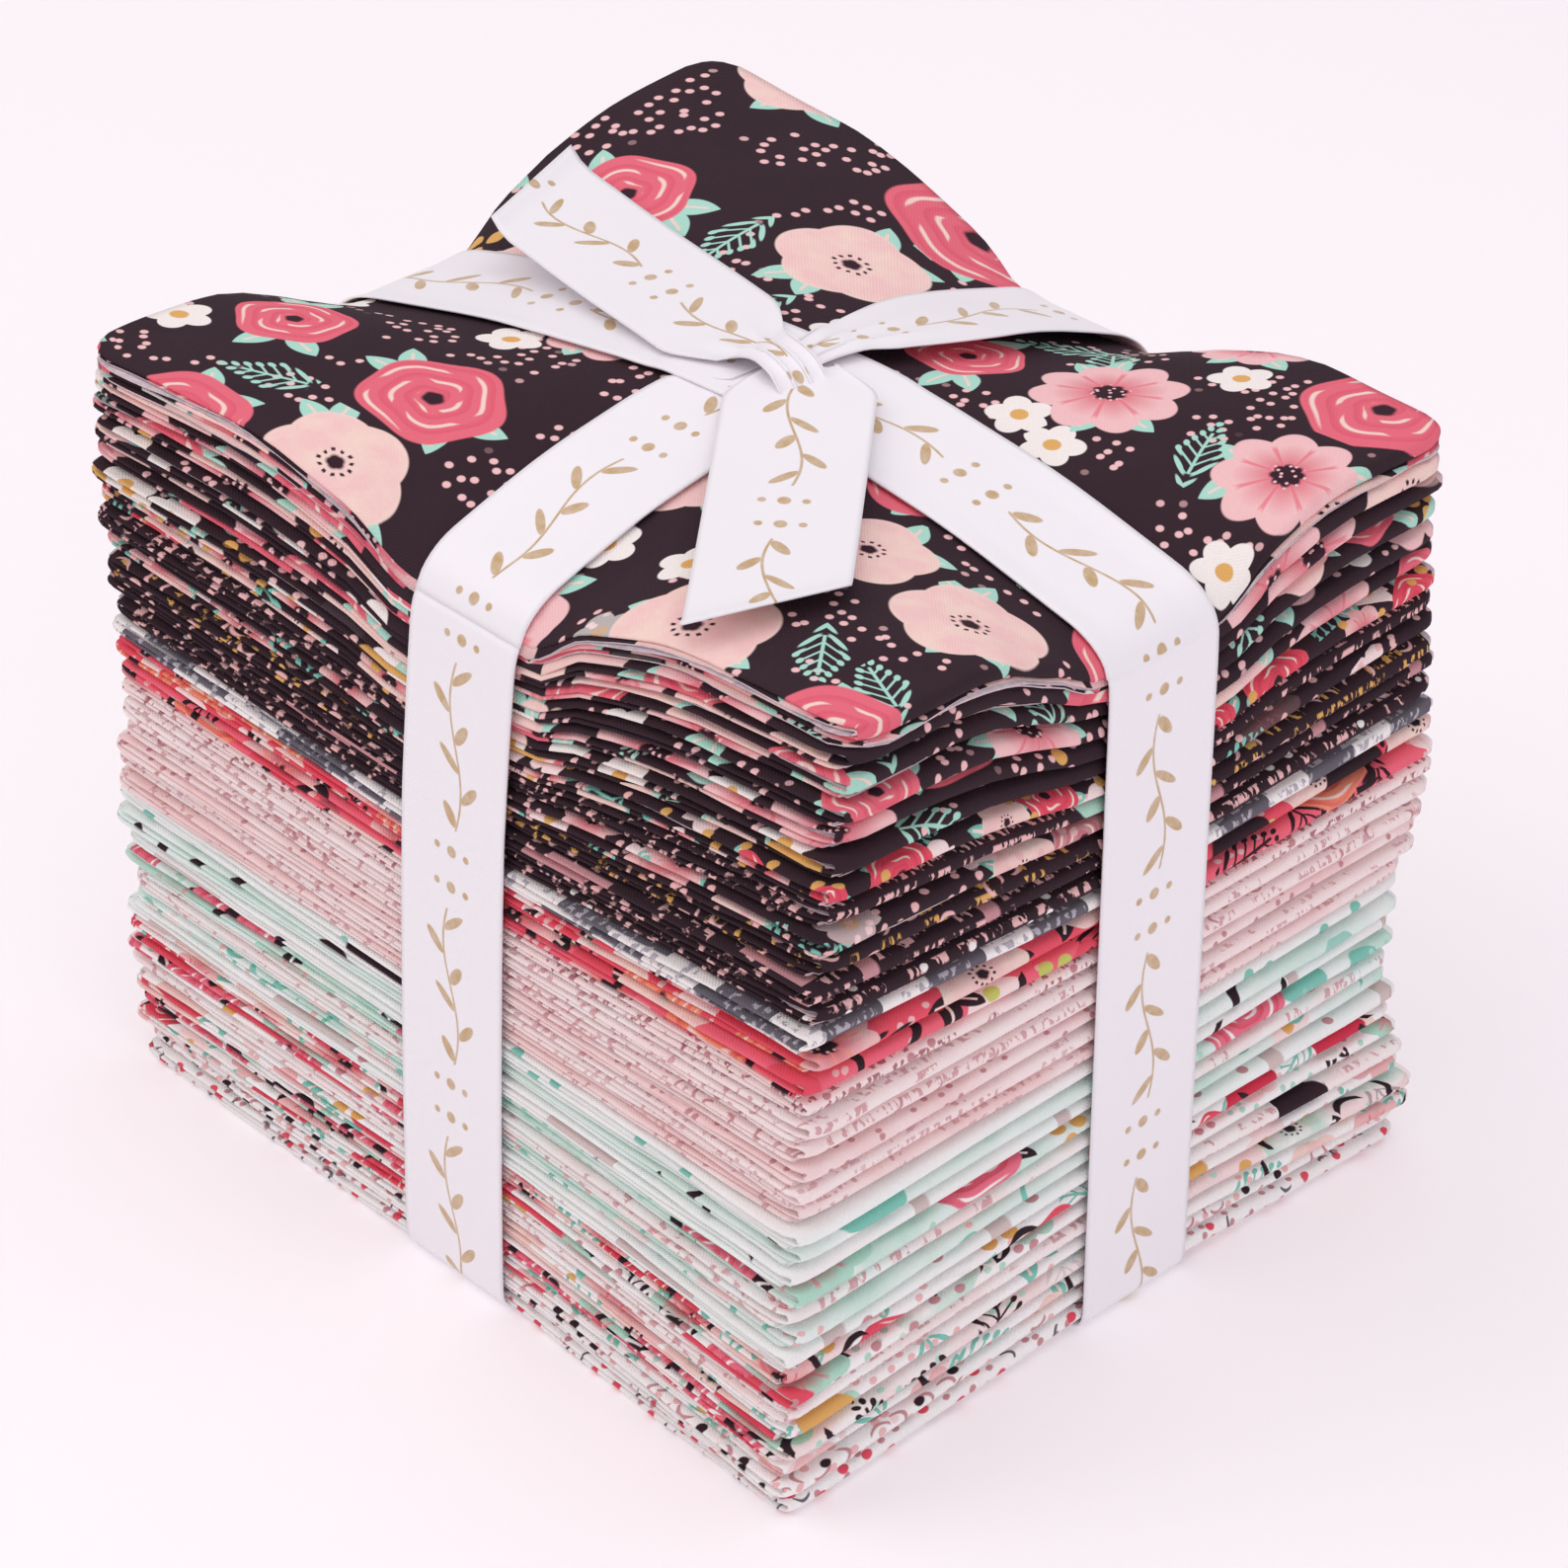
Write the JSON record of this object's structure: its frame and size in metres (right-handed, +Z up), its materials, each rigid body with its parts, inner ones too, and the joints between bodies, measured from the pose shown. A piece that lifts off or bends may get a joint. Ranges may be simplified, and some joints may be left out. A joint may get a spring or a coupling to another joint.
{
  "type": "fat quarter bundle",
  "caption": "Stack of folded quilting cotton fat quarters, tied both ways with a satin ribbon in a flat half knot with two free ends.",
  "frame": {"origin": "on the surface that the bundle lies on, under the middle of its outline", "axes": "+X along the long side of the folded pieces, towards the end where the upper folds lie; +Y along their short side; +Z up"},
  "size_m": [0.1838, 0.1552, 0.1569],
  "materials": {
    "cotton_white": "printed plain-weave cotton, warm white ground with coral, gold and black sprigs",
    "cotton_mint": "printed plain-weave cotton, pale mint ground with small dark and white marks",
    "cotton_pink": "printed plain-weave cotton, rose pink ground with small tone-on-tone marks",
    "cotton_coral": "printed plain-weave cotton, coral ground with small flowers",
    "cotton_grey": "printed plain-weave cotton, charcoal and white block stripe",
    "cotton_black": "printed plain-weave cotton, near-black ground with coral, blush, mint and gold flowers",
    "satin_ribbon": "white single-face satin with a small gold sprig print"
  },
  "bodies": {
    "root": {"fat_quarter_01": "cotton_white", "fat_quarter_02": "cotton_white", "fat_quarter_03": "cotton_white", "fat_quarter_04": "cotton_white", "fat_quarter_05": "cotton_white", "fat_quarter_06": "cotton_white", "fat_quarter_07": "cotton_white", "fat_quarter_08": "cotton_white", "fat_quarter_09": "cotton_mint", "fat_quarter_10": "cotton_mint", "fat_quarter_11": "cotton_mint", "fat_quarter_12": "cotton_mint", "fat_quarter_13": "cotton_mint", "fat_quarter_14": "cotton_mint", "fat_quarter_15": "cotton_mint", "fat_quarter_16": "cotton_pink", "fat_quarter_17": "cotton_pink", "fat_quarter_18": "cotton_pink", "fat_quarter_19": "cotton_pink", "fat_quarter_20": "cotton_pink", "fat_quarter_21": "cotton_pink", "fat_quarter_22": "cotton_pink", "fat_quarter_23": "cotton_coral", "fat_quarter_24": "cotton_grey", "fat_quarter_25": "cotton_black", "fat_quarter_26": "cotton_black", "fat_quarter_27": "cotton_black", "fat_quarter_28": "cotton_black", "fat_quarter_29": "cotton_black", "fat_quarter_30": "cotton_black", "fat_quarter_31": "cotton_black", "fat_quarter_32": "cotton_black", "fat_quarter_33": "cotton_black", "fat_quarter_34": "cotton_black", "fat_quarter_35": "cotton_black", "fat_quarter_36": "cotton_black", "ribbon": "satin_ribbon"}
  },
  "joints": []
}
